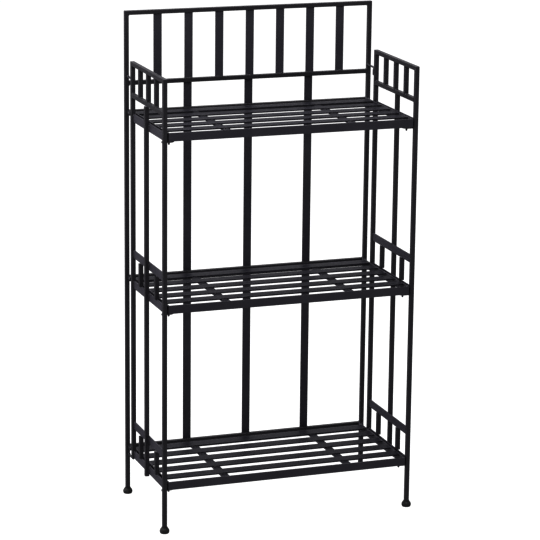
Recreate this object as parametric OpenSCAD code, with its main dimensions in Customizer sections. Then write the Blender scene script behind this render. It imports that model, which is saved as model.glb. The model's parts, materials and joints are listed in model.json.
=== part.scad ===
// Folding three-tier plant stand in black painted steel.
// A back frame carries two side panels on bent-wire hinge pins and three slatted shelves on rivets.
// Each shelf rests on two wire eyes at the front and is held by pegs that drop through them.
// Millimetres, Z up, front towards -Y. The origin is on the floor, at the middle of the footprint.

/* [Stock] */
// Side of the square tube
tube = 9.5; // [8:0.25:12]
// Wall of the square tube
tube_wall = 1; // [0.8:0.1:1.6]
// Outer corner radius of the square tube
tube_corner = 1; // [0.6:0.1:1.4]
// Width of the flat bar
flat_w = 19; // [16:0.5:24]
// Thickness of the flat bar
flat_t = 2.5; // [2:0.25:4]
// Diameter of the round wire
wire_d = 4.5; // [3.5:0.25:5.5]

/* [Back frame] */
// Width over the back uprights
back_w = 600; // [500:5:800]
// Height of the back frame above the top shelf
back_rise = 226; // [200:2:300]
// From the top rail's centre to the second rail's centre
crest_pitch = 160; // [120:1:220]
// Number of flats between the top rail and the second rail
crest_n = 7; // [3:1:9]
// From a shelf's top down to the top of the rail behind it
rail_drop = 1; // [0:0.5:4]
// What the long flats stop short of the rails' edges
flat_lap = 1; // [0.5:0.5:3]
// Radius on the back frame's two top corners
back_corner = 1; // [0.5:0.1:2]

/* [Side panels] */
// From the back uprights' centre to the rear uprights' centre
standoff = 50; // [46:1:70]
// From the rear uprights' centre to the front uprights' centre
panel_d = 240; // [180:5:290]
// Height of the side panels above the top shelf
side_rise = 118.5; // [105:0.5:160]
// From a side panel's lower rail to the guard above it, centre to centre
guard_pitch = 72; // [55:1:90]
// What the middle upright reaches below the lowest rail
mid_tail = 4; // [0:1:10]
// Radius on the side panels' top corners
side_corner = 2; // [1:0.25:2.5]

/* [Shelves] */
// Height of the bottom shelf above the floor
shelf_low = 121; // [100:1:150]
// From the bottom shelf up to the middle one
tier_low = 410; // [300:5:450]
// From the middle shelf up to the top one
tier_high = 388; // [300:4:450]
// Gap between a shelf's end and the uprights
shelf_gap = 3; // [2:0.25:5]
// Number of slats on a shelf
slat_n = 5; // [3:1:6]
// Width of a slat
slat_w = 28; // [16:1:30]
// Thickness of a slat over its turned-down lips
slat_t = 3.25; // [2.5:0.25:4.5]
// Thickness of the sheet that a slat is folded from
slat_sheet = 1.5; // [1:0.25:2]
// From the back uprights' centre to the shelf's rear rail
rear_set = 27.7; // [24:0.1:36]
// Width of a shelf's rear rail
rear_w = 14; // [10:0.5:16]
// From the back uprights' centre to the rear ends of a shelf's side rails
tail_set = 8.5; // [8:0.1:9]

/* [Shelf rivets] */
// From the back uprights' centre to the rivets
pivot_set = 14; // [13.5:0.25:16]
// From a shelf's top down to the rivets
pivot_drop = 6; // [5:0.25:8]
// Diameter of a rivet
pivot_d = 5; // [4:0.25:6]
// Diameter of the shoulder that spaces a rivet off its lug
shoulder_d = 8; // [7:0.25:9]
// Diameter of a rivet's heads
rivet_head_d = 9; // [7.5:0.25:10]
// Thickness of a rivet's heads
rivet_head_t = 1.5; // [1:0.1:2]
// Thickness of the lugs
lug_t = 3; // [2:0.25:4]
// Radius of the lugs' round ends
lug_r = 6; // [5:0.25:7]

/* [Hinge pins and barrels] */
// Outer diameter of a hinge barrel
barrel_d = 6.5; // [6:0.25:8]
// Length of a hinge barrel
barrel_l = 12; // [10:1:24]
// Bend radius of a hinge pin or a peg, at the wire's centre
bend_r = 5; // [4:0.5:8]
// Height of the upper hinge pins' arms above the second rail, centre to centre
arm_rise = 15; // [10:1:22]
// What a hinge pin reaches past its barrel
pin_tail = 1; // [1:0.5:6]

/* [Eyes and pegs] */
// Radius of an eye, at the wire's centre
eye_r = 10; // [8:0.5:12]
// What a peg hangs below its shelf
peg_tail = 11; // [10:1:20]
// Length of the taper at a peg's tip
peg_tip = 1.5; // [0.5:0.25:3]
// From a shelf's side rail to its peg's centre
peg_inset = 4.5; // [3:0.5:8]

/* [Feet] */
// Diameter of a foot
foot_d = 22; // [20:0.5:28]
// Height of a foot
foot_h = 14; // [10:0.5:14]
// Height of a foot's widest point
foot_belly = 5.5; // [5.5:0.25:7]
// Thickness of a foot under its tube
foot_floor = 4; // [3:0.5:6]

/* [Clearances] */
// Radial clearance round a rivet or a hinge pin
turn_clear = 0.05; // [0.02:0.01:0.1]
// End clearance beside a lug or a barrel
end_clear = 0.3; // [0.2:0.05:0.5]
// Height of a resting shelf above the eyes
seat_clear = 0.3; // [0.2:0.05:0.5]
// Clearance between a foot and its tube
foot_clear = 0.1; // [0.05:0.05:0.2]

/* [Hidden] */

paint = "#1f1e1d";
plastic = "#141414";
round_fn = 48;
small_fn = 24;
// How far a peg's tip draws in for each millimetre of its taper
peg_taper = 0.5;
// What a cutter runs past the piece that it cuts
over = 1;

// Planes of the frames
half_tube = tube / 2;
x_up = back_w / 2 - half_tube;
x_in = x_up - half_tube;
x_out = x_up + half_tube;
y_back = (standoff + panel_d) / 2;
y_rear = y_back - standoff;
y_front = y_rear - panel_d;
flat_step = x_up / 2;
crest_step = 2 * x_up / (crest_n + 1);

// Heights of the shelves' tops and of the frames
shelf_mid = shelf_low + tier_low;
shelf_high = shelf_mid + tier_high;
shelves = [shelf_low, shelf_mid, shelf_high];
back_h = shelf_high + back_rise;
side_h = shelf_high + side_rise;
z_second = back_h - half_tube - crest_pitch;
z_side_second = side_h - half_tube - guard_pitch;
z_low_end = shelf_low - seat_clear - flat_w;

// A shelf, from front to back and from side to side
x_end = x_in - shelf_gap;
x_rail_in = x_end - flat_t;
y_face = y_front - half_tube;
y_slats_front = y_face + flat_t;
y_slats_rear = y_back - rear_set - flat_t;
slat_gap = (y_slats_rear - y_slats_front) / slat_n - slat_w;
y_tail = y_back - tail_set;
y_pivot = y_back - pivot_set;

// Hinge pins, eyes and pegs
x_wire = x_in + wire_d / 2;
y_hinge = y_rear + half_tube + barrel_d / 2;
z_upper_arm = z_second + arm_rise;
z_upper_barrel = z_upper_arm - bend_r - end_clear - barrel_l;
z_lower_arm = z_low_end - end_clear - bend_r;
x_peg = x_rail_in - peg_inset;
peg_tip_d = wire_d - 2 * peg_tip * peg_taper;
y_eye = y_front + half_tube + wire_d / 2 + eye_r;
// How far past its side an eye's wire turns before it stops short of its shank
eye_end = asin((eye_r - wire_d / 2 - end_clear) / (eye_r + wire_d / 2));

// Centre height of the side panel's rail beside a shelf whose top is at this height
function rail_z(shelf) = shelf - seat_clear - flat_w / 2;
// Place of the side panels' upright bars, in quarters from the rear upright to the front one
function bar_y(quarter) = y_rear - quarter * panel_d / 4;

module rounded_square(side, r) {
    square([side, side - 2 * r], center = true);
    square([side - 2 * r, side], center = true);
    for (x = [-1, 1], y = [-1, 1])
        translate([x * (side / 2 - r), y * (side / 2 - r)])
            circle(r = r, $fn = small_fn);
}

module tube_section() {
    difference() {
        rounded_square(tube, tube_corner);
        square(tube - 2 * tube_wall, center = true);
    }
}

module tube_up(z0, z1) {
    translate([0, 0, z0])
        linear_extrude(height = z1 - z0)
            tube_section();
}

module tube_across(length) {
    rotate([0, 90, 0])
        linear_extrude(height = length, center = true)
            tube_section();
}

module tube_along(length) {
    rotate([90, 0, 0])
        linear_extrude(height = length, center = true)
            tube_section();
}

// What rounding an outer corner takes off, with the corner at the origin
module corner_waste(r) {
    translate([-r, -r])
        difference() {
            square(r + over);
            circle(r = r, $fn = small_fn);
        }
}

// Outline of a post that ends in a mitre, with the outside of the frame towards +X
module post_outline(z0, z1, r) {
    difference() {
        polygon([[-half_tube, z0], [half_tube, z0], [half_tube, z1], [-half_tube, z1 - tube]]);
        translate([half_tube, z1])
            corner_waste(r);
    }
}

// Outline of a rail with a mitre at both ends
module rail_outline(half_length, z1, r) {
    difference() {
        polygon([
            [-half_length, z1],
            [half_length, z1],
            [half_length - tube, z1 - tube],
            [-half_length + tube, z1 - tube]
        ]);
        for (side = [0, 1])
            mirror([side, 0, 0])
                translate([half_length, z1])
                    corner_waste(r);
    }
}

// Turns an outline into a plate across the back frame, wider than the tube
module across_back() {
    rotate([90, 0, 0])
        linear_extrude(height = tube + 2 * over, center = true)
            children();
}

// Turns an outline into a plate across a side panel, wider than the tube
module across_side() {
    rotate([90, 0, 90])
        linear_extrude(height = tube + 2 * over, center = true)
            children();
}

module at_left() {
    mirror([1, 0, 0])
        children();
}

module both_ends() {
    children();
    at_left()
        children();
}

module foot(y) {
    color(plastic)
        translate([x_up, y, 0])
            difference() {
                intersection() {
                    translate([0, 0, foot_belly])
                        sphere(d = foot_d, $fn = round_fn);
                    cylinder(h = foot_h, d = foot_d + over, $fn = round_fn);
                }
                translate([0, 0, foot_floor])
                    linear_extrude(height = foot_h)
                        rounded_square(tube + 2 * foot_clear, tube_corner + foot_clear);
            }
}

module back_upright() {
    color(paint)
        translate([x_up, y_back, 0])
            intersection() {
                tube_up(foot_floor, back_h);
                across_back()
                    post_outline(foot_floor, back_h, back_corner);
            }
}

module back_top_rail() {
    color(paint)
        translate([0, y_back, 0])
            intersection() {
                translate([0, 0, back_h - half_tube])
                    tube_across(back_w);
                across_back()
                    rail_outline(back_w / 2, back_h, back_corner);
            }
}

module back_rail(z) {
    color(paint)
        translate([0, y_back, z])
            tube_across(2 * x_in);
}

module shelf_back_rail(shelf) {
    back_rail(shelf - rail_drop - half_tube);
}

module crest_flats() {
    z0 = z_second + half_tube;
    color(paint)
        for (k = [1 : crest_n])
            translate([k * crest_step - x_up - flat_w / 2, y_back - flat_t / 2, z0])
                cube([flat_w, flat_t, back_h - tube - z0]);
}

module long_flat(place) {
    z0 = shelf_low - rail_drop - tube + flat_lap;
    z1 = z_second + half_tube - flat_lap;
    color(paint)
        translate([place * flat_step - flat_w / 2, y_back + half_tube, z0])
            cube([flat_w, flat_t, z1 - z0]);
}

module lug(shelf) {
    translate([x_in, y_pivot, shelf - pivot_drop])
        rotate([90, 0, 90])
            linear_extrude(height = lug_t)
                difference() {
                    union() {
                        circle(r = lug_r, $fn = round_fn);
                        translate([0, -lug_r])
                            square([pivot_set - half_tube, 2 * lug_r]);
                    }
                    circle(d = pivot_d + 2 * turn_clear, $fn = round_fn);
                }
}

module lugs() {
    color(paint)
        for (shelf = shelves)
            lug(shelf);
}

// Wire bent round the origin, from +X towards +Y
module wire_arc(r, turn) {
    rotate_extrude(angle = turn, $fn = round_fn)
        translate([r, 0])
            circle(d = wire_d, $fn = small_fn);
}

// Bent wire: an arm forward from the back upright at z 0, then a pin down through its barrel
module hinge_pin() {
    arm_l = y_back - half_tube - y_hinge - bend_r;
    pin_l = end_clear + barrel_l + pin_tail;
    translate([x_wire, y_hinge + bend_r, 0]) {
        rotate([-90, 0, 0])
            cylinder(h = arm_l, d = wire_d, $fn = round_fn);
        translate([0, 0, -bend_r])
            rotate([90, 0, -90])
                wire_arc(bend_r, 90);
        translate([0, -bend_r, -bend_r - pin_l])
            cylinder(h = pin_l, d = wire_d, $fn = round_fn);
    }
}

module pintles() {
    color(paint) {
        translate([0, 0, z_upper_arm])
            hinge_pin();
        translate([0, 0, z_lower_arm])
            mirror([0, 0, 1])
                hinge_pin();
    }
}

module barrels() {
    color(paint)
        for (z = [z_upper_barrel, z_low_end])
            translate([x_wire, y_hinge, z])
                difference() {
                    cylinder(h = barrel_l, d = barrel_d, $fn = round_fn);
                    translate([0, 0, -over])
                        cylinder(h = barrel_l + 2 * over, d = wire_d + 2 * turn_clear, $fn = round_fn);
                }
}

module front_upright() {
    color(paint)
        translate([x_up, y_front, 0])
            intersection() {
                tube_up(foot_floor, side_h);
                mirror([0, 1, 0])
                    across_side()
                        post_outline(foot_floor, side_h, side_corner);
            }
}

module rear_upright() {
    color(paint)
        translate([x_up, y_rear, 0])
            intersection() {
                tube_up(z_low_end, side_h);
                across_side()
                    post_outline(z_low_end, side_h, side_corner);
            }
}

module middle_upright() {
    color(paint)
        translate([x_out, bar_y(2), 0])
            tube_up(z_low_end - mid_tail, z_side_second - half_tube);
}

module side_top_rail() {
    length = panel_d + tube;
    color(paint)
        translate([x_up, (y_rear + y_front) / 2, 0])
            intersection() {
                translate([0, 0, side_h - half_tube])
                    tube_along(length);
                across_side()
                    rail_outline(length / 2, side_h, side_corner);
            }
}

module side_second_rail() {
    color(paint)
        translate([x_up, (y_rear + y_front) / 2, z_side_second])
            tube_along(panel_d - tube);
}

// Flat bar on edge between a side panel's uprights
module side_flat(z) {
    translate([x_up - flat_t, y_front + half_tube, z - flat_w / 2])
        cube([flat_t, panel_d - tube, flat_w]);
}

module guard(shelf) {
    color(paint)
        side_flat(rail_z(shelf) + guard_pitch);
}

module lower_rails() {
    color(paint)
        for (shelf = shelves)
            side_flat(rail_z(shelf));
}

module short_bars() {
    color(paint) {
        for (quarter = [1, 2, 3])
            translate([x_up, bar_y(quarter), 0])
                tube_up(z_side_second + half_tube, side_h - tube);
        for (shelf = [shelf_low, shelf_mid], quarter = [1, 3])
            translate([x_up, bar_y(quarter), rail_z(shelf)])
                tube_up(flat_w / 2, guard_pitch - flat_w / 2);
    }
}

// Wire eyes behind the front upright, each a shank that turns nearly all the way round
module eyes() {
    color(paint)
        for (shelf = shelves)
            translate([x_peg, y_eye, rail_z(shelf) - flat_w / 2 - wire_d / 2]) {
                for (quarter = [0, 1, 2])
                    rotate([0, 0, 90 * quarter])
                        wire_arc(eye_r, 90);
                mirror([0, 1, 0])
                    wire_arc(eye_r, eye_end);
                translate([0, -eye_r, 0])
                    rotate([0, 90, 0])
                        cylinder(h = x_out - x_peg, d = wire_d, $fn = round_fn);
            }
}

// Front and rear rails of a shelf
module long_rails(shelf) {
    color(paint)
        translate([0, 0, shelf]) {
            translate([-x_end, y_face, -flat_w])
                cube([2 * x_end, flat_t, flat_w]);
            translate([-x_rail_in, y_slats_rear, -rear_w])
                cube([2 * x_rail_in, flat_t, rear_w]);
        }
}

module side_rails(shelf) {
    color(paint)
        translate([0, 0, shelf - flat_w])
            both_ends()
                difference() {
                    translate([x_rail_in, y_slats_front, 0])
                        cube([flat_t, y_tail - y_slats_front, flat_w]);
                    translate([x_rail_in - over, y_pivot, flat_w - pivot_drop])
                        rotate([0, 90, 0])
                            cylinder(h = flat_t + 2 * over, d = pivot_d + 2 * turn_clear, $fn = round_fn);
                }
}

// Section of a slat, with its lips turned down
module slat_section() {
    difference() {
        square([slat_w, slat_t]);
        translate([slat_sheet, -over])
            square([slat_w - 2 * slat_sheet, slat_t - slat_sheet + over]);
    }
}

// Slats at an even pitch, the last one against the rear rail
module slats(shelf) {
    color(paint)
        for (k = [1 : slat_n])
            translate([0, y_slats_front + k * slat_gap + (k - 1) * slat_w, shelf - slat_t])
                rotate([90, 0, 90])
                    linear_extrude(height = 2 * x_rail_in, center = true)
                        slat_section();
}

// Flat bars that lie across under the slats
module braces(shelf) {
    color(paint)
        for (side = [-1, 1])
            translate([side * flat_step - flat_w / 2, y_slats_front, shelf - slat_t - flat_t])
                cube([flat_w, y_slats_rear - y_slats_front, flat_t]);
}

// Bent wire: an arm back from the front rail, half way down it, then a peg down through its eye
module pegs(shelf) {
    z_bend = shelf - flat_w / 2 - bend_r;
    z_tip = shelf - flat_w - peg_tail;
    arm_l = y_eye - bend_r - y_slats_front;
    color(paint)
        both_ends()
            translate([x_peg, y_eye, 0]) {
                translate([0, -bend_r, z_bend + bend_r])
                    rotate([90, 0, 0])
                        cylinder(h = arm_l, d = wire_d, $fn = round_fn);
                translate([0, -bend_r, z_bend])
                    rotate([90, 0, 90])
                        wire_arc(bend_r, 90);
                translate([0, 0, z_tip + peg_tip])
                    cylinder(h = z_bend - z_tip - peg_tip, d = wire_d, $fn = round_fn);
                translate([0, 0, z_tip])
                    cylinder(h = peg_tip, d1 = peg_tip_d, d2 = wire_d, $fn = round_fn);
            }
}

// Rivet through a shelf's side rail and its lug, with a shoulder between the two
module rivets(shelf) {
    lug_out = x_in + lug_t + end_clear;
    color(paint)
        both_ends()
            translate([0, y_pivot, shelf - pivot_drop])
                rotate([0, 90, 0])
                    rivet(x_rail_in, lug_out);
}

module rivet(inner, outer) {
    rotate_extrude($fn = round_fn)
        polygon([
            [0, inner - rivet_head_t],
            [rivet_head_d / 2, inner - rivet_head_t],
            [rivet_head_d / 2, inner],
            [pivot_d / 2, inner],
            [pivot_d / 2, x_end],
            [shoulder_d / 2, x_end],
            [shoulder_d / 2, x_in - end_clear],
            [pivot_d / 2, x_in - end_clear],
            [pivot_d / 2, outer],
            [rivet_head_d / 2, outer],
            [rivet_head_d / 2, outer + rivet_head_t],
            [0, outer + rivet_head_t]
        ]);
}

at_left() back_upright();  // back_left_upright
back_upright();  // back_right_upright
back_top_rail();
back_rail(z_second);  // back_second_rail
crest_flats();
long_flat(-1);  // back_left_flat
long_flat(0);  // back_middle_flat
long_flat(1);  // back_right_flat
shelf_back_rail(shelf_high);  // back_high_rail
shelf_back_rail(shelf_mid);  // back_middle_rail
shelf_back_rail(shelf_low);  // back_low_rail
at_left() lugs();  // left_lugs
lugs();  // right_lugs
at_left() pintles();  // left_pintles
pintles();  // right_pintles
at_left() foot(y_back);  // back_left_foot
foot(y_back);  // back_right_foot

at_left() front_upright();  // left_front_upright
at_left() rear_upright();  // left_rear_upright
at_left() middle_upright();  // left_middle_upright
at_left() side_top_rail();  // left_top_rail
at_left() side_second_rail();  // left_second_rail
at_left() guard(shelf_mid);  // left_middle_guard
at_left() guard(shelf_low);  // left_low_guard
at_left() lower_rails();  // left_lower_rails
at_left() short_bars();  // left_short_bars
at_left() eyes();  // left_eyes
at_left() barrels();  // left_barrels
at_left() foot(y_front);  // left_foot

front_upright();  // right_front_upright
rear_upright();  // right_rear_upright
middle_upright();  // right_middle_upright
side_top_rail();  // right_top_rail
side_second_rail();  // right_second_rail
guard(shelf_mid);  // right_middle_guard
guard(shelf_low);  // right_low_guard
lower_rails();  // right_lower_rails
short_bars();  // right_short_bars
eyes();  // right_eyes
barrels();  // right_barrels
foot(y_front);  // right_foot

long_rails(shelf_high);  // top_shelf_long_rails
side_rails(shelf_high);  // top_shelf_side_rails
slats(shelf_high);  // top_shelf_slats
braces(shelf_high);  // top_shelf_braces
pegs(shelf_high);  // top_shelf_pegs
rivets(shelf_high);  // top_shelf_rivets
long_rails(shelf_mid);  // middle_shelf_long_rails
side_rails(shelf_mid);  // middle_shelf_side_rails
slats(shelf_mid);  // middle_shelf_slats
braces(shelf_mid);  // middle_shelf_braces
pegs(shelf_mid);  // middle_shelf_pegs
rivets(shelf_mid);  // middle_shelf_rivets
long_rails(shelf_low);  // bottom_shelf_long_rails
side_rails(shelf_low);  // bottom_shelf_side_rails
slats(shelf_low);  // bottom_shelf_slats
braces(shelf_low);  // bottom_shelf_braces
pegs(shelf_low);  // bottom_shelf_pegs
rivets(shelf_low);  // bottom_shelf_rivets
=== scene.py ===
# Folding plant stand in black powder-coated steel.
# The CAD frame gives the bars, shelves and wires. Added here: weld beads, turned rivets,
# moulded feet, rolled edges on the flat bar, the finishes with light and shade painted part by
# part, and a plain studio.
import json
import math
import random

import bpy
from mathutils import Matrix, Vector

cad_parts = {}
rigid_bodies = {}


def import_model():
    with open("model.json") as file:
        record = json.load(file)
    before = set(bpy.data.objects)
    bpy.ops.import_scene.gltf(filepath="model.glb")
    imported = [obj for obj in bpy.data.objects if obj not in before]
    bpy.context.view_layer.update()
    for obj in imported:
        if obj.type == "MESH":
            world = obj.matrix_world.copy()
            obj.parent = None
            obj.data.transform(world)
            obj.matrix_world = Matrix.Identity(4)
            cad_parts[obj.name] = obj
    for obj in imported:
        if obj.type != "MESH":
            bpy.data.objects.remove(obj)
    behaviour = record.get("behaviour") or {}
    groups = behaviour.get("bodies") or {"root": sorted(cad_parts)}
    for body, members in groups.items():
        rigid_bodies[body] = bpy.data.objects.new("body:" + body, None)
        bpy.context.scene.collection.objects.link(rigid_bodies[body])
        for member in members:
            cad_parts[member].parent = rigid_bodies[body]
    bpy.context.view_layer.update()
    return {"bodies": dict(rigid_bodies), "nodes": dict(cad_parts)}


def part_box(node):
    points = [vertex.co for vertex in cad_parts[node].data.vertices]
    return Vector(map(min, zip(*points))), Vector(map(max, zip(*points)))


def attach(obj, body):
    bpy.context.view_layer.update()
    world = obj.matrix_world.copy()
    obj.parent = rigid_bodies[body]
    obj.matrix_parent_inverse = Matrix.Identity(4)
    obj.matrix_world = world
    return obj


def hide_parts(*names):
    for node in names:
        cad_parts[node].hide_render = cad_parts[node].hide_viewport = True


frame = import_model()
nodes = frame["nodes"]
scene = bpy.context.scene

right = Vector((1, 0, 0))
back = Vector((0, 1, 0))
up = Vector((0, 0, 1))
mergeGap = 0.00001  # vertices nearer than this become one


def at(x, y, z):
    return Vector((x, y, z))


# The frame's own nodes come in selected, so everything is let go first
def deselectAll():
    if bpy.context.mode != "OBJECT":
        bpy.ops.object.mode_set(mode="OBJECT")
    bpy.ops.object.select_all(action="DESELECT")


def makeActive(piece):
    deselectAll()
    piece.select_set(True)
    bpy.context.view_layer.objects.active = piece


def smoothBelow(piece, degrees):
    makeActive(piece)
    bpy.ops.object.shade_smooth_by_angle(angle=math.radians(degrees))


def applyModifiers(piece):
    makeActive(piece)
    for modifier in list(piece.modifiers):
        bpy.ops.object.modifier_apply(modifier=modifier.name)


def copyPiece(piece, name, place):
    copied = piece.copy()
    copied.data = piece.data.copy()
    copied.data.transform(place)
    copied.name = copied.data.name = name
    scene.collection.objects.link(copied)
    return copied


def joinPieces(pieces, name):
    deselectAll()
    for piece in pieces:
        piece.select_set(True)
    bpy.context.view_layer.objects.active = pieces[0]
    if len(pieces) > 1:
        bpy.ops.object.join()
    joined = bpy.context.object
    joined.name = joined.data.name = name
    return joined


# In edit mode, selects only the vertices whose place is wanted. Flags set in code need object mode.
def selectVertices(piece, wanted):
    bpy.ops.mesh.select_mode(type="VERT")
    bpy.ops.mesh.select_all(action="DESELECT")
    bpy.ops.object.mode_set(mode="OBJECT")
    for vertex in piece.data.vertices:
        vertex.select = wanted(vertex.co)
    bpy.ops.object.mode_set(mode="EDIT")


# Box of each separate solid in a CAD node, lowest first
def solidBoxes(name):
    spare = nodes[name].copy()
    spare.data = nodes[name].data.copy()
    spare.parent = None
    scene.collection.objects.link(spare)
    makeActive(spare)
    bpy.ops.object.mode_set(mode="EDIT")
    bpy.ops.mesh.select_all(action="SELECT")
    bpy.ops.mesh.remove_doubles(threshold=mergeGap)
    bpy.ops.mesh.separate(type="LOOSE")
    bpy.ops.object.mode_set(mode="OBJECT")
    found = []
    for solid in list(bpy.context.selected_objects):
        places = [vertex.co for vertex in solid.data.vertices]
        low = Vector([min(place[axis] for place in places) for axis in range(3)])
        high = Vector([max(place[axis] for place in places) for axis in range(3)])
        found.append((low, high))
        bpy.data.objects.remove(solid)
    return sorted(found, key=lambda box: (round(box[0].z, 4), round(box[0].y, 4), box[0].x))


# Turns a profile of (radius, height) points about an axis through the origin
def turnProfile(name, profile, axis, steps):
    deselectAll()
    across = back if axis is right else right
    bpy.ops.mesh.primitive_plane_add(size=0.001)
    piece = bpy.context.object
    piece.name = piece.data.name = name
    bpy.ops.object.mode_set(mode="EDIT")
    bpy.ops.mesh.merge(type="CENTER")
    radius, height = profile[0]
    bpy.ops.transform.translate(value=across * radius + axis * height)
    for (radiusA, heightA), (radiusB, heightB) in zip(profile, profile[1:]):
        step = across * (radiusB - radiusA) + axis * (heightB - heightA)
        bpy.ops.mesh.extrude_region_move(TRANSFORM_OT_translate={"value": step})
    bpy.ops.mesh.select_all(action="SELECT")
    bpy.ops.mesh.spin(steps=steps, angle=2 * math.pi, center=(0, 0, 0), axis=axis)
    bpy.ops.mesh.select_all(action="SELECT")
    bpy.ops.mesh.remove_doubles(threshold=mergeGap)
    bpy.ops.mesh.normals_make_consistent(inside=False)
    bpy.ops.object.mode_set(mode="OBJECT")
    return piece


# Camera, from a fit of the stand's corners in the photograph
photoCamera = {
    "place": (-1.9232, -5.3377, 1.9841),
    "yaw": 0.3464,
    "pitch": 0.2467,
    "roll": 0.0108,
    "lens": 169.93,
    "sensor": 36.0,
}
deselectAll()
bpy.ops.object.camera_add()
camera = bpy.context.object
camera.name = "photoCamera"
camera.data.sensor_width = photoCamera["sensor"]
camera.data.lens = photoCamera["lens"]
camera.matrix_world = (
    Matrix.Translation(photoCamera["place"])
    @ Matrix.Rotation(-photoCamera["yaw"], 4, "Z")
    @ Matrix.Rotation(math.pi / 2 - photoCamera["pitch"], 4, "X")
    @ Matrix.Rotation(photoCamera["roll"], 4, "Z")
)
scene.camera = camera
print("camera placed")


def startMaterial(name):
    material = bpy.data.materials.new(name)
    material.use_nodes = True
    tree = material.node_tree
    places = tree.nodes.new("ShaderNodeTexCoord").outputs["Object"]
    return material, tree, places, tree.nodes["Principled BSDF"]


def noiseFrom(tree, places, scale, detail, roughness=0.5):
    noise = tree.nodes.new("ShaderNodeTexNoise")
    noise.inputs["Scale"].default_value = scale
    noise.inputs["Detail"].default_value = detail
    noise.inputs["Roughness"].default_value = roughness
    tree.links.new(places, noise.inputs["Vector"])
    return noise.outputs["Fac"]


def rangeFrom(tree, value, start, end, low, high):
    remap = tree.nodes.new("ShaderNodeMapRange")
    sockets = ("From Min", "From Max", "To Min", "To Max")
    for socket, number in zip(sockets, (start, end, low, high)):
        remap.inputs[socket].default_value = number
    tree.links.new(value, remap.inputs["Value"])
    return remap.outputs["Result"]


def mixFrom(tree, factor, first, second):
    mix = tree.nodes.new("ShaderNodeMix")
    mix.data_type = "RGBA"
    tree.links.new(factor, mix.inputs["Factor"])
    for socket, colour in zip(("A", "B"), (first, second)):
        wanted = [s for s in mix.inputs if s.name == socket and s.type == "RGBA"][0]
        if isinstance(colour, bpy.types.NodeSocket):
            tree.links.new(colour, wanted)
        else:
            wanted.default_value = (*colour, 1)
    return [s for s in mix.outputs if s.type == "RGBA"][0]


def bumpFrom(tree, value, strength, depth, under=None):
    bump = tree.nodes.new("ShaderNodeBump")
    bump.inputs["Strength"].default_value = strength
    bump.inputs["Distance"].default_value = depth
    tree.links.new(value, bump.inputs["Height"])
    if under is not None:
        tree.links.new(under, bump.inputs["Normal"])
    return bump.outputs["Normal"]


# Satin black powder coat: fine orange peel, a coat that varies in gloss from place to place
powderCoat = {
    "black": (0.0340, 0.0322, 0.0396),
    "worn": (0.0450, 0.0430, 0.0505),
    "gloss": (0.38, 0.50),
    "specular": 0.5,
    "wearScale": 9,
    "wearRange": (0.35, 0.72),
    "glossScale": 140,
    "glossRange": (0.3, 0.7),
    "peelScale": 620,
    "peelStrength": 0.35,
    "peelDepth": 0.00006,
    "grainScale": 3200,
    "grainStrength": 0.3,
    "grainDepth": 0.00002,
}


# Each copy of this coat is made paler or darker (lift), bluer (cool), rougher (glossShift) or
# shinier (sheen); lift paints light and shade part by part
def powderCoatMaterial(name, lift=1.0, glossShift=0.0, peel=1.0, cool=1.0, sheen=1.0):
    coat = powderCoat
    material, tree, places, shader = startMaterial(name)
    wearNoise = noiseFrom(tree, places, coat["wearScale"], 4, 0.6)
    glossNoise = noiseFrom(tree, places, coat["glossScale"], 3, 0.55)
    lifts = (lift, lift, lift * cool)
    black = [channel * grow for channel, grow in zip(coat["black"], lifts)]
    worn = [channel * grow for channel, grow in zip(coat["worn"], lifts)]
    wear = rangeFrom(tree, wearNoise, *coat["wearRange"], 0.0, 1.0)
    tree.links.new(mixFrom(tree, wear, black, worn), shader.inputs["Base Color"])
    low, high = [gloss + glossShift for gloss in coat["gloss"]]
    rough = rangeFrom(tree, glossNoise, *coat["glossRange"], low, high)
    tree.links.new(rough, shader.inputs["Roughness"])
    peelNoise = noiseFrom(tree, places, coat["peelScale"], 2, 0.45)
    grainNoise = noiseFrom(tree, places, coat["grainScale"], 1, 0.5)
    peelBump = bumpFrom(tree, peelNoise, coat["peelStrength"], coat["peelDepth"] * peel)
    grainBump = bumpFrom(
        tree, grainNoise, coat["grainStrength"], coat["grainDepth"] * peel, peelBump
    )
    tree.links.new(grainBump, shader.inputs["Normal"])
    shader.inputs["Specular IOR Level"].default_value = coat["specular"] * sheen
    return material


# Injection-moulded feet: spark-eroded grain, scuffed pale near the floor
mouldedFoot = {
    "black": (0.0260, 0.0260, 0.0270),
    "scuff": (0.0900, 0.0885, 0.0860),
    "scuffTop": 0.0032,  # scuffs fade out at this height
    "scuffScale": 520,
    "scuffRange": (0.5, 0.66),
    "scuffMost": 0.8,
    "gloss": (0.48, 0.62),
    "glossScale": 260,
    "glossRange": (0.3, 0.7),
    "specular": 0.35,
    "grainScale": 2400,
    "grainStrength": 0.5,
    "grainDepth": 0.00004,
}


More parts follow.
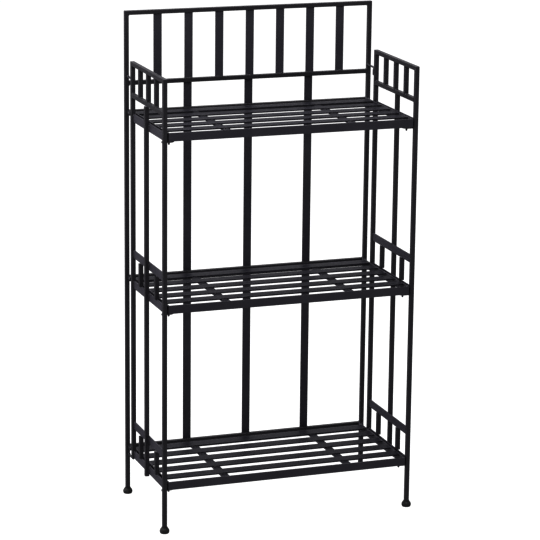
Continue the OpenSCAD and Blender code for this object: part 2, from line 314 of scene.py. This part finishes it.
def mouldedFootMaterial():
    plastic = mouldedFoot
    material, tree, places, shader = startMaterial("mouldedBlackPlastic")
    split = tree.nodes.new("ShaderNodeSeparateXYZ")
    tree.links.new(places, split.inputs["Vector"])
    lowDown = rangeFrom(tree, split.outputs["Z"], 0.0, plastic["scuffTop"], 1.0, 0.0)
    scuffNoise = noiseFrom(tree, places, plastic["scuffScale"], 4, 0.65)
    marks = rangeFrom(tree, scuffNoise, *plastic["scuffRange"], 0.0, plastic["scuffMost"])
    scuffed = tree.nodes.new("ShaderNodeMath")
    scuffed.operation = "MULTIPLY"
    tree.links.new(lowDown, scuffed.inputs[0])
    tree.links.new(marks, scuffed.inputs[1])
    shade = mixFrom(tree, scuffed.outputs["Value"], plastic["black"], plastic["scuff"])
    tree.links.new(shade, shader.inputs["Base Color"])
    glossNoise = noiseFrom(tree, places, plastic["glossScale"], 3, 0.6)
    rough = rangeFrom(tree, glossNoise, *plastic["glossRange"], *plastic["gloss"])
    tree.links.new(rough, shader.inputs["Roughness"])
    grainNoise = noiseFrom(tree, places, plastic["grainScale"], 2, 0.5)
    grainBump = bumpFrom(tree, grainNoise, plastic["grainStrength"], plastic["grainDepth"])
    tree.links.new(grainBump, shader.inputs["Normal"])
    shader.inputs["Specular IOR Level"].default_value = plastic["specular"]
    return material


# Lit and shaded copies of one coat: the tubes and, darkest, the sheet slats are painted shade; the
# rails and flat bar are painted light
coatTubePaintedShade = powderCoatMaterial("powderCoatTube", lift=0.82)
coatSheetPaintedShade = powderCoatMaterial("powderCoatSheet", lift=0.5, cool=1.2, sheen=0.6)
coatRailPaintedLight = powderCoatMaterial("powderCoatRail", lift=1.08, cool=1.06)
coatFlatPaintedLight = powderCoatMaterial("powderCoatFlatBar", lift=1.3, cool=1.06)
# The edge coat is paler than the flat bar as a painted highlight; its higher gloss and shallower
# peel are those of a thinner coat on an edge
coatEdgePaintedHighlight = powderCoatMaterial("powderCoatRolledEdge", lift=1.35, glossShift=-0.06, peel=0.5)
coatWire = powderCoatMaterial("powderCoatWire", glossShift=-0.03, peel=0.8)
coatWeld = powderCoatMaterial("powderCoatWeld", lift=1.1, glossShift=-0.04, peel=1.6)
coatRivet = powderCoatMaterial("powderCoatRivet", lift=1.2, glossShift=-0.07, peel=0.6)
plasticBlack = mouldedFootMaterial()
print("finishes made")


# Every CAD node takes a finish. Flat bar and slats also get the rolled edges of mill stock, coated
# paler as a painted highlight.
rolledEdge = {"width": 0.00045, "segments": 3, "angle": 35}
wireParts = ("_pintles", "_eyes", "_barrels", "_pegs")
sheetParts = ("_slats", "_braces", "_lugs")
railParts = ("_long_rails", "_side_rails")
flatParts = ("_flats", "_flat", "_guard", "_lower_rails", *railParts, *sheetParts)
for nodeName, node in nodes.items():
    flat = nodeName.endswith(flatParts)
    coat = coatFlatPaintedLight if flat else coatTubePaintedShade
    if nodeName.endswith(wireParts):
        coat = coatWire
    if nodeName.endswith(sheetParts):
        coat = coatSheetPaintedShade
    if nodeName.endswith(railParts):
        coat = coatRailPaintedLight
    node.data.materials.clear()
    node.data.materials.append(coat)
    if flat:
        node.data.materials.append(coatEdgePaintedHighlight)
        makeActive(node)
        bpy.ops.mesh.customdata_custom_splitnormals_clear()
        bpy.ops.object.shade_smooth()
        merged = node.modifiers.new("merged", "WELD")
        merged.merge_threshold = mergeGap
        rolled = node.modifiers.new("rolled", "BEVEL")
        rolled.width = rolledEdge["width"]
        rolled.segments = rolledEdge["segments"]
        rolled.limit_method = "ANGLE"
        rolled.angle_limit = math.radians(rolledEdge["angle"])
        rolled.harden_normals = True
        # Bevel faces take the paler edge coat: a painted highlight
        rolled.material = 1
print("frame finished")


# One weld bead: a rippled fillet along +Z, in the corner between a face along +X and one along +Y
weldBead = {
    "leg": 0.0020,  # how far it climbs each face
    "sink": 0.0005,  # how far its back lies in the metal
    "length": 0.010,
    "rings": (0.42, 0.90, 1.05, 0.88, 1.06, 0.90, 1.02, 0.45),
    "vary": 0.07,
    "cut": 0.82,  # share of each side that the rounded face takes
    "roundness": 0.44,
    "smooth": 50,
}


def modelBead():
    leg, sink, rings = weldBead["leg"], weldBead["sink"], weldBead["rings"]
    side, middle = leg + sink, (leg - sink) / 2
    step = weldBead["length"] / (len(rings) - 1)
    deselectAll()
    bpy.ops.mesh.primitive_plane_add(size=side, location=(middle, middle, 0))
    bead = bpy.context.object
    bead.name = bead.data.name = "weldBead"
    bpy.ops.object.transform_apply(location=True)
    bpy.ops.object.mode_set(mode="EDIT")
    selectVertices(bead, lambda place: place.x > 0 and place.y > 0)
    bpy.ops.mesh.bevel(
        offset=side * weldBead["cut"],
        segments=2,
        profile=weldBead["roundness"],
        affect="VERTICES",
    )
    bpy.ops.mesh.select_all(action="SELECT")
    bpy.ops.transform.resize(value=(rings[0],) * 3, center_override=(-sink, -sink, 0))
    for number in range(1, len(rings)):
        bpy.ops.mesh.extrude_region_move(TRANSFORM_OT_translate={"value": (0, 0, step)})
        grow = rings[number] / rings[number - 1]
        bpy.ops.transform.resize(
            value=(grow, grow, 1), center_override=(-sink, -sink, step * number)
        )
    bpy.ops.mesh.select_all(action="SELECT")
    bpy.ops.mesh.normals_make_consistent(inside=False)
    bpy.ops.object.mode_set(mode="OBJECT")
    smoothBelow(bead, weldBead["smooth"])
    return bead


beadModel = modelBead()
beadDice = random.Random(11)
beadsOn = {body: [] for body in frame["bodies"]}


# Lays a bead along a corner from its start. Its legs lie on the faces that leave the corner
# along legA and legB.
def layBead(body, start, along, length, legA, legB, size=1.0, sizeB=None):
    if legA.cross(legB).dot(along) < 0:
        start, along = start + along * length, -along
    grow = 1 + beadDice.uniform(-weldBead["vary"], weldBead["vary"])
    growA, growB = size * grow, (sizeB or size) * grow
    columns = (legA * growA, legB * growB, along * (length / weldBead["length"]), start)
    rows = [[column[row] for column in columns] for row in range(3)]
    beadsOn[body].append(copyPiece(beadModel, "bead", Matrix(rows + [[0, 0, 0, 1]])))


# Round fillet where a bent wire leaves a flat face
wireFillet = {
    "climb": 0.0013,  # how far it runs along the wire
    "spread": 0.0013,  # how far it runs out on the face
    "sink": 0.0003,
    "lip": 0.0001,
    "curve": ((0.62, 0.38), (0.22, 0.78)),  # shares of the spread and of the climb
    "steps": 24,
    "smooth": 50,
}


def modelWireFillet(wireRadius):
    climb, spread, sink = wireFillet["climb"], wireFillet["spread"], wireFillet["sink"]
    inside, outside = wireRadius - sink, wireRadius + spread
    profile = [(inside, -sink), (outside, -sink), (outside, wireFillet["lip"])]
    profile += [(wireRadius + spread * out, climb * rise) for out, rise in wireFillet["curve"]]
    profile += [(inside, climb), (inside, -sink)]
    fillet = turnProfile("wireFillet", profile, up, wireFillet["steps"])
    smoothBelow(fillet, wireFillet["smooth"])
    return fillet


def layWireFillet(body, root, quarterTurns):
    place = Matrix.Translation(root) @ Matrix.Rotation(quarterTurns * math.pi / 2, 4, "X")
    beadsOn[body].append(copyPiece(wireFilletModel, "bead", place))


# Back frame
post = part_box("back_right_upright")
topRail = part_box("back_top_rail")
crossNames = ("back_second_rail", "back_high_rail", "back_middle_rail", "back_low_rail")
crossRails = [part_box(name) for name in crossNames]
inset = 0.0010  # beads stop this far short of an edge
flatInset = 1.5 * inset  # and this far on flat bar
tubeSide = post[1].x - post[0].x
beadRun = tubeSide - 2 * inset
for side in (-1, 1):
    inner, outer = side * post[0].x, right * side
    start = at(inner, post[0].y + inset, topRail[0].z)
    layBead("back_frame", start, back, beadRun, -up, -outer)
    for low, high in crossRails:
        layBead("back_frame", at(inner, low.y + inset, high.z), back, beadRun, up, -outer)
        layBead("back_frame", at(inner, low.y + inset, low.z), back, beadRun, -up, -outer)

for low, high in solidBoxes("crest_flats"):
    run = high.x - low.x - 2 * inset
    for end, away in ((high.z, -up), (low.z, up)):
        layBead("back_frame", at(low.x + inset, low.y, end), right, run, -back, away)
        layBead("back_frame", at(low.x + inset, high.y, end), right, run, back, away)

for name in ("back_left_flat", "back_middle_flat", "back_right_flat"):
    flatLow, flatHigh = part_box(name)
    for low, high in crossRails:
        run = high.z - low.z - 2 * flatInset
        for edge, away in ((flatLow.x, -right), (flatHigh.x, right)):
            layBead("back_frame", at(edge, flatLow.y, low.z + flatInset), up, run, away, back)

for low, high in solidBoxes("right_lugs"):
    for side in (-1, 1):
        start = at(side * high.x, post[0].y, low.z + inset)
        layBead("back_frame", start, up, high.z - low.z - 2 * inset, right * side, -back)

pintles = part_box("right_pintles")
wireRadius = (pintles[1].x - pintles[0].x) / 2
wireCentre = pintles[0].x + wireRadius
wireFilletModel = modelWireFillet(wireRadius)
lowPin, highPin = solidBoxes("right_pintles")
for arm in (lowPin[0].z + wireRadius, highPin[1].z - wireRadius):
    for side in (-1, 1):
        layWireFillet("back_frame", at(side * wireCentre, post[0].y, arm), 1)
print("back frame welded:", len(beadsOn["back_frame"]))


# Side panels, which mirror each other. Numbers are bead sizes, and offsets from a wire's middle.
panelWelds = {
    "guardBarEnd": 0.9,
    "postEnd": (2.2, 1.0),
    "eye": 0.75,
    "eyeOffset": 0.0016,
    "barrel": ((0.0022, 1, 0.8), (-0.0016, -1, 0.45)),  # offset, way out, size
}
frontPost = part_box("right_front_upright")
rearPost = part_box("right_rear_upright")
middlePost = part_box("right_middle_upright")
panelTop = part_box("right_top_rail")
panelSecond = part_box("right_second_rail")
lowerRails = solidBoxes("right_lower_rails")
guards = [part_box("right_low_guard"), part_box("right_middle_guard")]
shortBars = solidBoxes("right_short_bars")
crestBars = [bar for bar in shortBars if bar[0].z > panelSecond[0].z]
guardBars = [bar for bar in shortBars if bar[0].z < panelSecond[0].z]
eyeWires = solidBoxes("right_eyes")
hingeBarrels = solidBoxes("right_barrels")
for body, side in (("left_side", -1), ("right_side", 1)):
    outer = right * side
    nearX = side * (frontPost[0].x + inset)
    for along, ahead in ((frontPost[1].y, back), (rearPost[0].y, -back)):
        layBead(body, at(nearX, along, panelTop[0].z), outer, beadRun, -up, ahead)
        layBead(body, at(nearX, along, panelSecond[1].z), outer, beadRun, up, ahead)
        layBead(body, at(nearX, along, panelSecond[0].z), outer, beadRun, -up, ahead)
        for low, high in lowerRails + guards:
            run = high.z - low.z - 2 * flatInset
            for face, away in ((low.x, -outer), (high.x, outer)):
                layBead(body, at(side * face, along, low.z + flatInset), up, run, away, ahead)
    for low, high in crestBars:
        for edge, away in ((low.y, -back), (high.y, back)):
            layBead(body, at(nearX, edge, low.z), outer, beadRun, away, up)
            layBead(body, at(nearX, edge, high.z), outer, beadRun, away, -up)
    railLow, railHigh = lowerRails[0]
    for low, high in guardBars:
        for end, ahead in ((low.z, up), (high.z, -up)):
            for edge, away in ((low.y, -back), (high.y, back)):
                start = at(side * railLow.x, edge, end)
                layBead(body, start, outer, railHigh.x - railLow.x, away, ahead)
            for face, away in ((railLow.x, -outer), (railHigh.x, outer)):
                start = at(side * face, low.y + inset, end)
                layBead(body, start, back, beadRun, away, -ahead, panelWelds["guardBarEnd"])
    for edge, away in ((middlePost[0].y, -back), (middlePost[1].y, back)):
        for low, high in lowerRails + guards:
            run = high.z - low.z - 2 * flatInset
            start = at(side * middlePost[0].x, edge, low.z + flatInset)
            layBead(body, start, up, run, away, outer)
        start = at(side * middlePost[0].x, edge, middlePost[1].z)
        layBead(body, start, outer, tubeSide / 2 - inset, away, -up)
    # The outer half of the middle upright's end is closed by a broad run
    start = at(side * panelSecond[1].x, middlePost[0].y + inset / 2, middlePost[1].z)
    layBead(body, start, back, tubeSide - inset, outer, up, *panelWelds["postEnd"])
    for low, high in eyeWires:
        middle = (low.z + high.z) / 2
        for way in (1, -1):
            start = at(nearX, frontPost[1].y, middle + way * panelWelds["eyeOffset"])
            layBead(body, start, outer, beadRun, up * way, back, panelWelds["eye"])
    for low, high in hingeBarrels:
        centre = (low.x + high.x) / 2
        run = high.z - low.z - 2 * inset
        for offset, way, size in panelWelds["barrel"]:
            start = at(side * (centre + offset), rearPost[1].y, low.z + inset)
            layBead(body, start, up, run, outer * way, back, size)
    print(body, "welded:", len(beadsOn[body]))


# Shelves, their slats folded from sheet with the lips turned down. Beads on sheet are small.
shelfWelds = {"sheet": 0.0015, "slatBead": 0.7, "braceBead": 0.85, "slatInset": 0.003}
for tier in ("bottom", "middle", "top"):
    body = tier + "_shelf"
    frontRail, rearRail = solidBoxes(body + "_long_rails")
    endRails = solidBoxes(body + "_side_rails")
    slats = solidBoxes(body + "_slats")
    railInner = endRails[1][0].x
    run = frontRail[1].z - frontRail[0].z - 4 * inset
    slatBead, braceBead = shelfWelds["slatBead"], shelfWelds["braceBead"]
    for side in (-1, 1):
        inward = -right * side
        start = at(side * railInner, frontRail[1].y, frontRail[0].z + inset)
        layBead(body, start, up, run, inward, back)
        for edge, ahead in ((rearRail[0].y, -back), (rearRail[1].y, back)):
            start = at(side * railInner, edge, rearRail[0].z + inset)
            layBead(body, start, up, run, inward, ahead)
        for low, high in slats:
            lipRun = high.y - low.y - 2 * shelfWelds["slatInset"]
            lipY, lipZ = low.y + shelfWelds["slatInset"], high.z - shelfWelds["sheet"]
            start = at(side * railInner, lipY, lipZ)
            layBead(body, start, back, lipRun, inward, -up, slatBead)
    for low, high in solidBoxes(body + "_braces"):
        run, nearX = high.x - low.x - 2 * inset, low.x + inset
        layBead(body, at(nearX, low.y, high.z), right, run, up, back, slatBead)
        layBead(body, at(nearX, low.y, low.z), right, run, -up, back, braceBead)
        layBead(body, at(nearX, high.y, low.z), right, run, -up, -back, braceBead)
        for slatLow, slatHigh in slats:
            layBead(body, at(nearX, slatLow.y, high.z), right, run, up, -back, slatBead)
            if high.y - slatHigh.y > weldBead["leg"]:
                layBead(body, at(nearX, slatHigh.y, high.z), right, run, up, back, slatBead)
    for low, high in solidBoxes(body + "_pegs"):
        root = at((low.x + high.x) / 2, frontRail[1].y, high.z - wireRadius)
        layWireFillet(body, root, -1)
    print(body, "welded:", len(beadsOn[body]))


def camelName(words):
    return words[0] + "".join(word.capitalize() for word in words[1:])


for body, beads in beadsOn.items():
    welds = joinPieces(beads, camelName(body.split("_") + ["welds"]))
    welds.data.materials.clear()
    welds.data.materials.append(coatWeld)
    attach(welds, body)
for model in (beadModel, wireFilletModel):
    bpy.data.objects.remove(model)


# Shouldered rivets with domed, dimpled heads, on which the shelves turn
shelfRivet = {
    "shank": 5 / 9,  # shares of the head's radius
    "shoulder": 8 / 9,
    "dome": ((1.0, 0.10), (0.90, 0.42), (0.72, 0.72), (0.48, 0.92)),  # radius and rise, as shares
    "dimple": 0.0009,
    "dimpleDepth": 0.0003,
    "rim": ((1.5, 1.0), (1.0, 0.97)),  # round the dimple
    "soften": 0.0003,
    "play": 0.0003,  # between the rivet and each face of its lug
    "steps": 32,
    "smooth": 38,
}


def modelRivet():
    low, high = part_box("top_shelf_rivets")
    sideRail = solidBoxes("top_shelf_side_rails")[1]
    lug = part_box("right_lugs")
    railIn, railOut = sideRail[0].x, sideRail[1].x
    lugIn, lugOut = lug[0].x - shelfRivet["play"], lug[1].x + shelfRivet["play"]
    head = (high.z - low.z) / 2
    tip = high.x
    thick = tip - lugOut
    shank, shoulder = head * shelfRivet["shank"], head * shelfRivet["shoulder"]
    soft, dimple, deep = shelfRivet["soften"], shelfRivet["dimple"], shelfRivet["dimpleDepth"]
    dome = [(head * share, rise) for share, rise in shelfRivet["dome"]]
    dome += [(dimple * share, rise) for share, rise in shelfRivet["rim"]]
    inner = [(radius, railIn - thick * rise) for radius, rise in reversed(dome)]
    outer = [(radius, lugOut + thick * rise) for radius, rise in dome]
    profile = [(0, railIn - thick + deep)] + inner
    profile += [(head, railIn), (shank, railIn), (shank, railOut), (shoulder - soft, railOut)]
    profile += [(shoulder, railOut + soft), (shoulder, lugIn - soft), (shoulder - soft, lugIn)]
    profile += [(shank, lugIn), (shank, lugOut), (head, lugOut)]
    profile += outer + [(0, tip - deep)]
    rivet = turnProfile("shelfRivet", profile, right, shelfRivet["steps"])
    smoothBelow(rivet, shelfRivet["smooth"])
    return rivet


rivetModel = modelRivet()
for tier in ("bottom", "middle", "top"):
    body = tier + "_shelf"
    low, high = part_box(body + "_rivets")
    place = Matrix.Translation(at(0, (low.y + high.y) / 2, (low.z + high.z) / 2))
    turned = place @ Matrix.Rotation(math.pi, 4, "Z")
    pair = [copyPiece(rivetModel, "rivet", place), copyPiece(rivetModel, "rivet", turned)]
    rivets = joinPieces(pair, tier + "ShelfRivets")
    rivets.data.materials.append(coatRivet)
    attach(rivets, body)
    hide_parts(body + "_rivets")
bpy.data.objects.remove(rivetModel)
print("rivets set")


# Moulded bun feet: a domed bun with a short neck and a square socket for the tube
bunFoot = {
    "profile": (  # radius and height in millimetres
        (0.0, 0.0), (8.5, 0.0), (9.3, 0.2), (9.9, 0.9),
        (10.55, 2.6), (10.92, 4.2), (11.0, 5.5), (10.86, 6.9),
        (10.3, 8.7), (9.35, 10.3), (8.3, 11.5), (7.62, 12.2),
        (7.35, 12.8), (7.25, 13.6), (6.95, 14.0), (0.0, 14.0),
    ),
    "steps": 48,
    "socket": 0.0097,
    "socketFloor": 0.004,
    "socketRise": 0.02,  # the cutter goes well past the top
    "socketCorner": 0.0011,
    "smooth": 32,
}


def modelFoot():
    profile = [(radius / 1000, height / 1000) for radius, height in bunFoot["profile"]]
    foot = turnProfile("bunFoot", profile, up, bunFoot["steps"])
    rise = bunFoot["socketRise"]
    deselectAll()
    bpy.ops.mesh.primitive_cube_add(size=1, location=(0, 0, bunFoot["socketFloor"] + rise / 2))
    cutter = bpy.context.object
    cutter.scale = (bunFoot["socket"], bunFoot["socket"], rise)
    bpy.ops.object.transform_apply(location=True, rotation=True, scale=True)
    rounded = cutter.modifiers.new("rounded", "BEVEL")
    rounded.width = bunFoot["socketCorner"]
    rounded.segments = 4
    applyModifiers(cutter)
    socket = foot.modifiers.new("socket", "BOOLEAN")
    socket.operation = "DIFFERENCE"
    socket.solver = "EXACT"
    socket.object = cutter
    applyModifiers(foot)
    bpy.data.objects.remove(cutter)
    smoothBelow(foot, bunFoot["smooth"])
    return foot


footModel = modelFoot()
footPlaces = {
    "back_left_foot": "back_frame",
    "back_right_foot": "back_frame",
    "left_foot": "left_side",
    "right_foot": "right_side",
}
for nodeName, body in footPlaces.items():
    low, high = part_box(nodeName)
    name = camelName(nodeName.split("_")[:-1] + ["bun"])
    place = Matrix.Translation(at((low.x + high.x) / 2, (low.y + high.y) / 2, 0))
    foot = copyPiece(footModel, name, place)
    foot.data.materials.append(plasticBlack)
    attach(foot, body)
    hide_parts(nodeName)
bpy.data.objects.remove(footModel)
print("feet fitted")


# Studio: a pale floor that glows like a lit table, and round it a pale wall, which only shows
# behind the stand in low views and lights nothing
studio = {
    "floorSize": 100,
    "floorGlow": 0.97,
    "wallRadius": 40,
    "wallHeight": 24,
    "wallGlow": 1.1,
    "paint": (0.10, 0.10, 0.10),
    "paintRoughness": 0.9,
    "paintSpecular": 0.1,
    "skyBand": (-0.15, 0.5),  # the sky goes from low to above between these heights
    "skyLow": 0.28,
    "skyAbove": 0.8,
    "contrast": 0.62,
}


def glowingPaint(name, glow):
    material, _, _, shader = startMaterial(name)
    shader.inputs["Base Color"].default_value = (*studio["paint"], 1)
    shader.inputs["Roughness"].default_value = studio["paintRoughness"]
    shader.inputs["Specular IOR Level"].default_value = studio["paintSpecular"]
    shader.inputs["Emission Color"].default_value = (1, 1, 1, 1)
    shader.inputs["Emission Strength"].default_value = glow
    return material


deselectAll()
bpy.ops.mesh.primitive_plane_add(size=studio["floorSize"])
floor = bpy.context.object
floor.name = "studioFloor"
floor.data.materials.append(glowingPaint("paleFloor", studio["floorGlow"]))
floor.visible_glossy = False

deselectAll()
bpy.ops.mesh.primitive_cylinder_add(
    vertices=96,
    radius=studio["wallRadius"],
    depth=studio["wallHeight"],
    end_fill_type="NOTHING",
    location=(0, 0, studio["wallHeight"] / 2),
)
wall = bpy.context.object
wall.name = "studioWall"
wall.data.materials.append(glowingPaint("paleWall", studio["wallGlow"]))
wall.visible_diffuse = False
wall.visible_glossy = False
wall.visible_shadow = False

# Three softboxes: a broad one overhead, one at the left, and a small one in front
softboxes = {
    "overheadSoftbox": {
        "place": (-0.6, 0.9, 4.2),
        "turn": (-10, -8, 0),
        "size": (5.0, 4.0),
        "power": 280,
        "inView": True,
    },
    "leftSoftbox": {
        "place": (-4.0, 1.2, 1.6),
        "turn": (0, -82, 0),
        "size": (2.5, 3.0),
        "power": 105,
        "inView": True,
    },
    "frontSoftbox": {
        "place": (-0.9, -1.9, 2.3),
        "turn": (52, 0, -25),
        "size": (0.8, 0.8),
        "power": 22,
        "inView": False,
    },
}
for name, light in softboxes.items():
    turn = [math.radians(angle) for angle in light["turn"]]
    bpy.ops.object.light_add(type="AREA", location=light["place"], rotation=turn)
    softbox = bpy.context.object
    softbox.name = name
    softbox.data.shape = "RECTANGLE"
    softbox.data.size, softbox.data.size_y = light["size"]
    softbox.data.energy = light["power"]
    softbox.visible_camera = light["inView"]

scene.world = bpy.data.worlds.new("studioAir")
scene.world.use_nodes = True
airTree = scene.world.node_tree
airPlaces = airTree.nodes.new("ShaderNodeTexCoord").outputs["Generated"]
airSplit = airTree.nodes.new("ShaderNodeSeparateXYZ")
airTree.links.new(airPlaces, airSplit.inputs["Vector"])
airLevel = rangeFrom(
    airTree, airSplit.outputs["Z"], *studio["skyBand"], studio["skyLow"], studio["skyAbove"]
)
airTree.links.new(airLevel, airTree.nodes["Background"].inputs["Strength"])
airTree.nodes["Background"].inputs["Color"].default_value = (1, 1, 1, 1)
scene.view_settings.view_transform = "Standard"
scene.view_settings.gamma = studio["contrast"]
print("studio lit")
